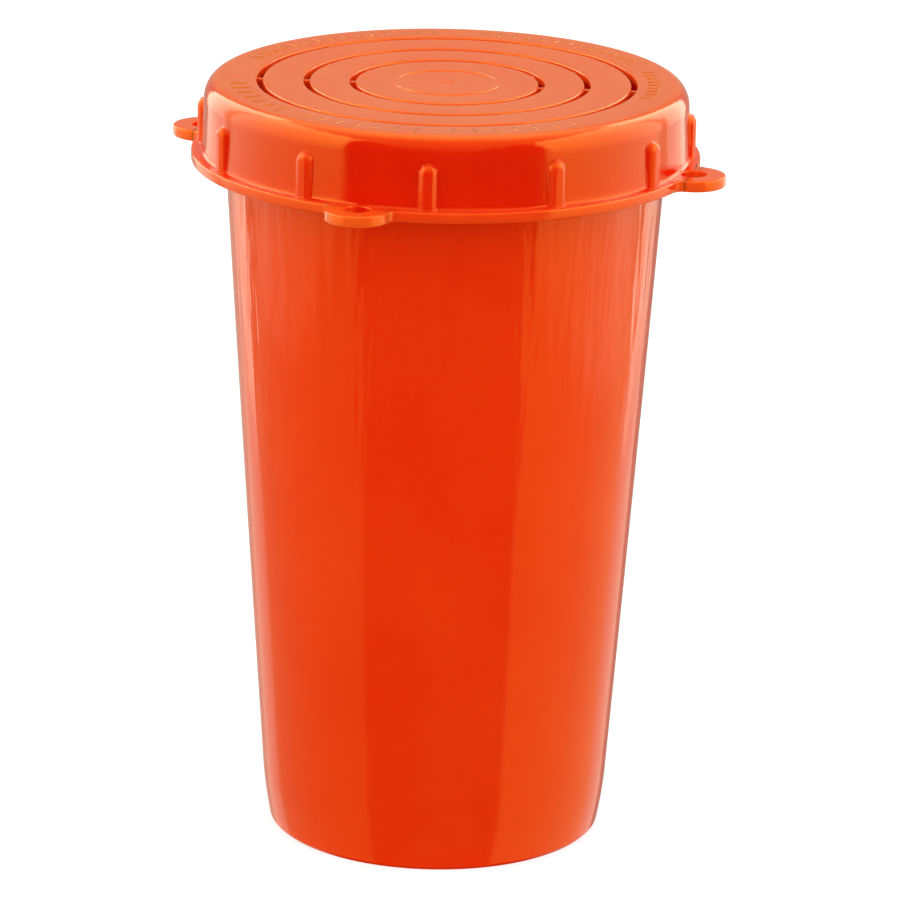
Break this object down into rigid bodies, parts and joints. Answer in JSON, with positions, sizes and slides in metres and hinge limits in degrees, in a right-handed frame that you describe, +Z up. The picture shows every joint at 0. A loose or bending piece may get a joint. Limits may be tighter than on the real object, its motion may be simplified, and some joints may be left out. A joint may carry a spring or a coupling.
{
  "type": "bait jar",
  "caption": "Tapered round plastic jar with a wide mouth and a slotted lift-off cap that has grip ribs and tie lugs.",
  "frame": {"origin": "centre of the jar's base, at the ground", "axes": "+Z up along the jar's axis; -Y faces the viewer; +X to the viewer's right"},
  "size_m": [0.1304, 0.1304, 0.1835],
  "materials": {
    "jar_plastic": "glossy orange, slightly translucent",
    "lid_plastic": "glossy orange, slightly translucent"
  },
  "bodies": {
    "jar": {"jar": "jar_plastic"},
    "lid": {"lid": "lid_plastic"}
  },
  "joints": [
    {"name": "lid_lift", "type": "slide", "parent": "jar", "child": "lid", "axis": [0, 0, 1], "range_m": [0, 0.06]}
  ]
}
